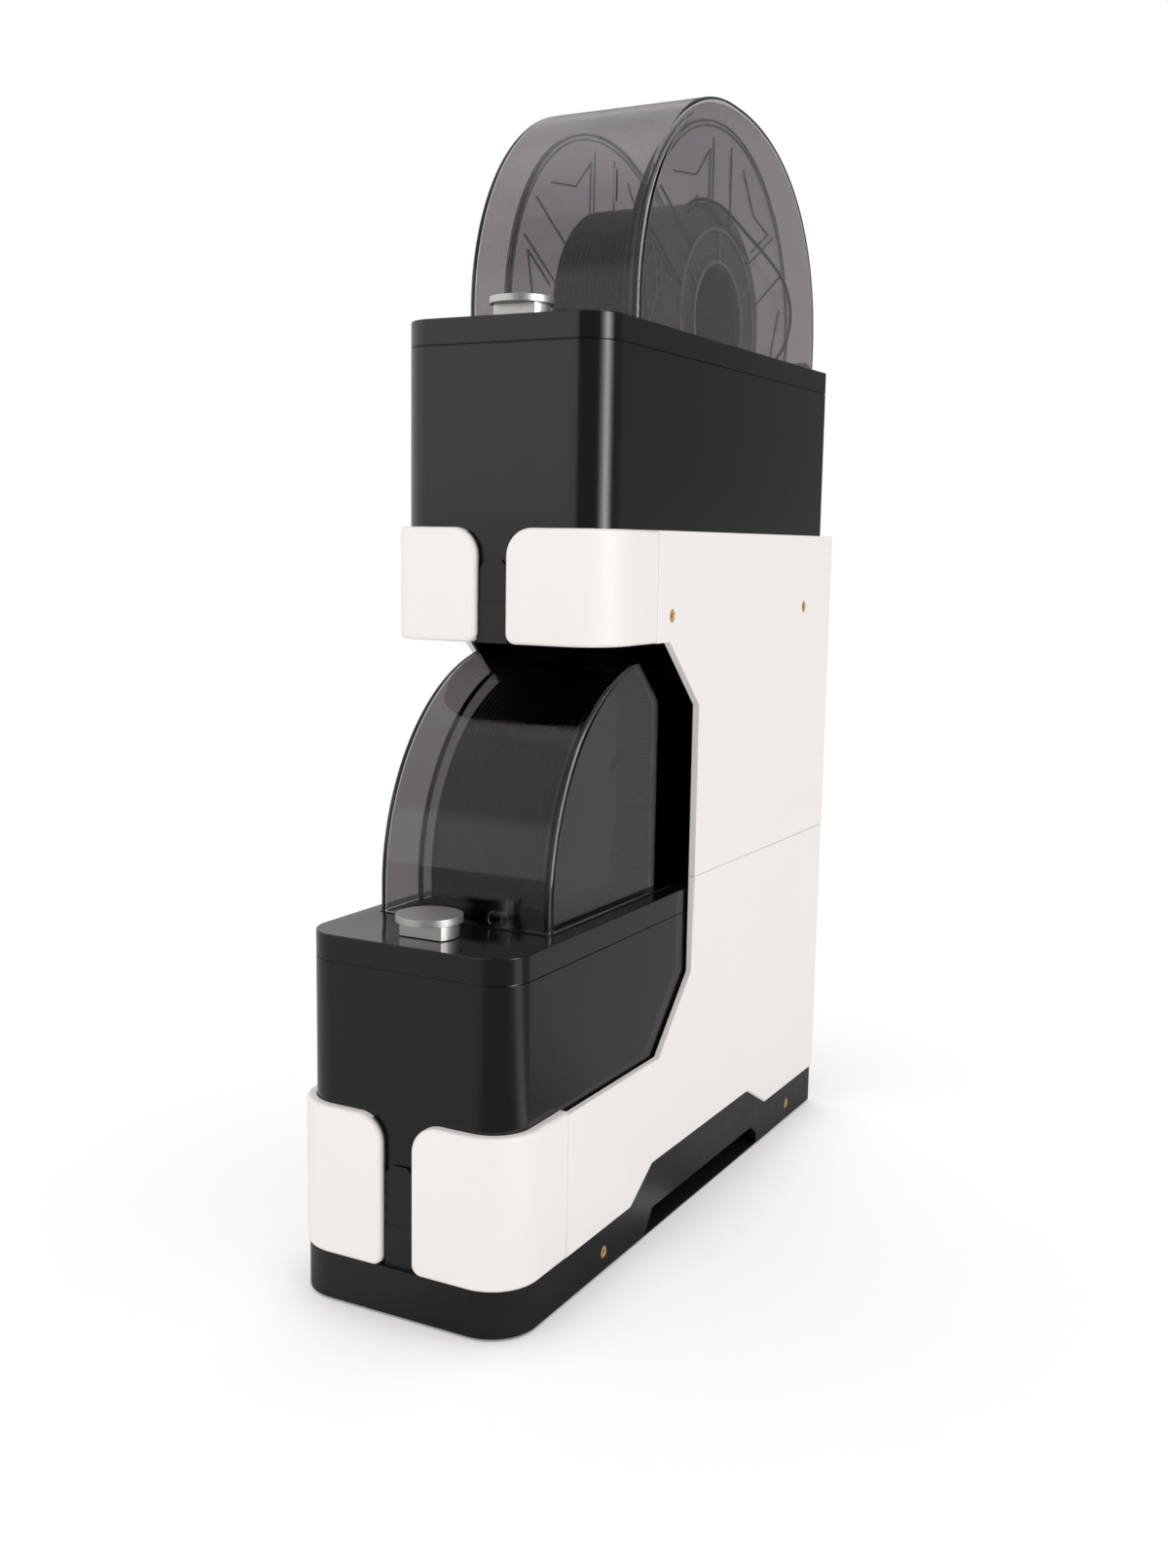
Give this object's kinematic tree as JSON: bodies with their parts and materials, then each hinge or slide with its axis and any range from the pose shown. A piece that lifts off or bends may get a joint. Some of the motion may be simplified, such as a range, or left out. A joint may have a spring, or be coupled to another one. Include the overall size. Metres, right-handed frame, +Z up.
{
  "type": "filament dryer box",
  "caption": "Filament dryer boxes with clear domed lids, spool rollers and feeder, stepped one above the other in a printed stand.",
  "frame": {"origin": "on the floor under the middle of the stand's outer box", "axes": "+Z up, the knobs and clips face -Y, the hinges and outlets face +Y, +X is the right-hand side seen from the front"},
  "size_m": [0.1196, 0.3682, 0.5673],
  "materials": {
    "white_print": "3D-printed, fine layer lines",
    "black_print": "3D-printed, satin",
    "foot_rubber": "moulded",
    "brass": "machined",
    "body_black": "fine moulded texture",
    "seal_rubber": "soft moulded",
    "smoked_lid": "smoke-tinted, polished",
    "pin_steel": "drawn",
    "knob_aluminium": "bead-blasted and anodised",
    "latch_black": "moulded",
    "clear_spool": "clear, polished",
    "filament_black": "satin",
    "inner_black": "moulded",
    "roller_rubber": "ground",
    "motor_metal": "zinc plated",
    "wheel_steel": "machined",
    "heater_aluminium": "extruded",
    "desiccant_white": "moulded",
    "board_green": "soldered board"
  },
  "bodies": {
    "housings": {"base": "black_print", "base_feet": "foot_rubber", "lower_tray": "black_print", "upper_tray": "black_print", "back_wall": "black_print", "side_liners": "black_print", "lower_left_panel": "white_print", "lower_right_panel": "white_print", "upper_left_panel": "white_print", "upper_right_panel": "white_print", "lower_left_clip": "white_print", "lower_right_clip": "white_print", "upper_left_clip": "white_print", "upper_right_clip": "white_print", "panel_screws": "brass", "low_shell": "body_black", "low_deck": "body_black", "low_bottom_cover": "body_black", "low_lid_seal": "seal_rubber", "low_hinge_pin": "pin_steel", "low_cradle": "inner_black", "low_feed_motor": "motor_metal", "low_heater": "heater_aluminium", "low_fan_housing": "inner_black", "low_desiccant_box": "desiccant_white", "low_circuit_board": "board_green", "low_rear_ports": "inner_black", "up_shell": "body_black", "up_deck": "body_black", "up_bottom_cover": "body_black", "up_lid_seal": "seal_rubber", "up_hinge_pin": "pin_steel", "up_cradle": "inner_black", "up_feed_motor": "motor_metal", "up_heater": "heater_aluminium", "up_fan_housing": "inner_black", "up_desiccant_box": "desiccant_white", "up_circuit_board": "board_green", "up_rear_ports": "inner_black"},
    "low_lid_body": {"low_lid": "smoked_lid", "low_latch_block": "latch_black"},
    "low_knob_body": {"low_knob": "knob_aluminium"},
    "low_spool_body": {"low_spool": "clear_spool", "low_filament": "filament_black"},
    "low_front_roller_body": {"low_front_roller": "roller_rubber"},
    "low_rear_roller_body": {"low_rear_roller": "roller_rubber"},
    "low_drive_wheel_body": {"low_drive_wheel": "wheel_steel"},
    "low_idler_wheel_body": {"low_idler_wheel": "wheel_steel"},
    "low_fan_body": {"low_fan_impeller": "inner_black"},
    "up_lid_body": {"up_lid": "smoked_lid", "up_latch_block": "latch_black"},
    "up_knob_body": {"up_knob": "knob_aluminium"},
    "up_spool_body": {"up_spool": "clear_spool", "up_filament": "filament_black", "up_strand": "filament_black"},
    "up_front_roller_body": {"up_front_roller": "roller_rubber"},
    "up_rear_roller_body": {"up_rear_roller": "roller_rubber"},
    "up_drive_wheel_body": {"up_drive_wheel": "wheel_steel"},
    "up_idler_wheel_body": {"up_idler_wheel": "wheel_steel"},
    "up_fan_body": {"up_fan_impeller": "inner_black"}
  },
  "joints": [
    {"name": "low_lid_hinge", "type": "hinge", "parent": "housings", "child": "low_lid_body", "pos_m": [0, 0.10015, 0.1736], "axis": [-1, 0, 0], "range_deg": [0, 8]},
    {"name": "low_knob_turn", "type": "hinge", "parent": "housings", "child": "low_knob_body", "pos_m": [0, -0.15735, 0.1701], "axis": [0, 0, 1], "range_deg": [0, 90]},
    {"name": "low_spool_spin", "type": "hinge", "parent": "housings", "child": "low_spool_body", "pos_m": [0, -0.01535, 0.1851], "axis": [1, 0, 0], "continuous": true},
    {"name": "low_front_roller_spin", "type": "hinge", "parent": "housings", "child": "low_front_roller_body", "pos_m": [0, -0.07976, 0.09311], "axis": [1, 0, 0], "continuous": true},
    {"name": "low_rear_roller_spin", "type": "hinge", "parent": "housings", "child": "low_rear_roller_body", "pos_m": [0, 0.04906, 0.09311], "axis": [1, 0, 0], "continuous": true},
    {"name": "low_drive_wheel_spin", "type": "hinge", "parent": "housings", "child": "low_drive_wheel_body", "pos_m": [0, 0.08565, 0.0581], "axis": [1, 0, 0], "continuous": true},
    {"name": "low_idler_wheel_spin", "type": "hinge", "parent": "housings", "child": "low_idler_wheel_body", "pos_m": [0, 0.08565, 0.0759], "axis": [1, 0, 0], "continuous": true},
    {"name": "low_fan_spin", "type": "hinge", "parent": "housings", "child": "low_fan_body", "pos_m": [0, -0.12735, 0.0451], "axis": [0, 0, 1], "continuous": true},
    {"name": "up_lid_hinge", "type": "hinge", "parent": "housings", "child": "up_lid_body", "pos_m": [0, 0.17575, 0.4483], "axis": [-1, 0, 0], "range_deg": [0, 88]},
    {"name": "up_knob_turn", "type": "hinge", "parent": "housings", "child": "up_knob_body", "pos_m": [0, -0.08175, 0.4448], "axis": [0, 0, 1], "range_deg": [0, 90]},
    {"name": "up_spool_spin", "type": "hinge", "parent": "housings", "child": "up_spool_body", "pos_m": [0, 0.06025, 0.4598], "axis": [1, 0, 0], "continuous": true},
    {"name": "up_front_roller_spin", "type": "hinge", "parent": "housings", "child": "up_front_roller_body", "pos_m": [0, -0.00416, 0.36781], "axis": [1, 0, 0], "continuous": true},
    {"name": "up_rear_roller_spin", "type": "hinge", "parent": "housings", "child": "up_rear_roller_body", "pos_m": [0, 0.12466, 0.36781], "axis": [1, 0, 0], "continuous": true},
    {"name": "up_drive_wheel_spin", "type": "hinge", "parent": "housings", "child": "up_drive_wheel_body", "pos_m": [0, 0.16125, 0.3328], "axis": [1, 0, 0], "continuous": true},
    {"name": "up_idler_wheel_spin", "type": "hinge", "parent": "housings", "child": "up_idler_wheel_body", "pos_m": [0, 0.16125, 0.3506], "axis": [1, 0, 0], "continuous": true},
    {"name": "up_fan_spin", "type": "hinge", "parent": "housings", "child": "up_fan_body", "pos_m": [0, -0.05175, 0.3198], "axis": [0, 0, 1], "continuous": true}
  ],
  "couplings": [
    {"joint": "low_front_roller_spin", "follows": "low_spool_spin", "ratio": -8.3333},
    {"joint": "low_rear_roller_spin", "follows": "low_spool_spin", "ratio": -8.3333},
    {"joint": "low_drive_wheel_spin", "follows": "low_spool_spin", "ratio": -11.875},
    {"joint": "low_idler_wheel_spin", "follows": "low_spool_spin", "ratio": 11.875},
    {"joint": "up_front_roller_spin", "follows": "up_spool_spin", "ratio": -8.3333},
    {"joint": "up_rear_roller_spin", "follows": "up_spool_spin", "ratio": -8.3333},
    {"joint": "up_drive_wheel_spin", "follows": "up_spool_spin", "ratio": -7.5625},
    {"joint": "up_idler_wheel_spin", "follows": "up_spool_spin", "ratio": 7.5625}
  ]
}
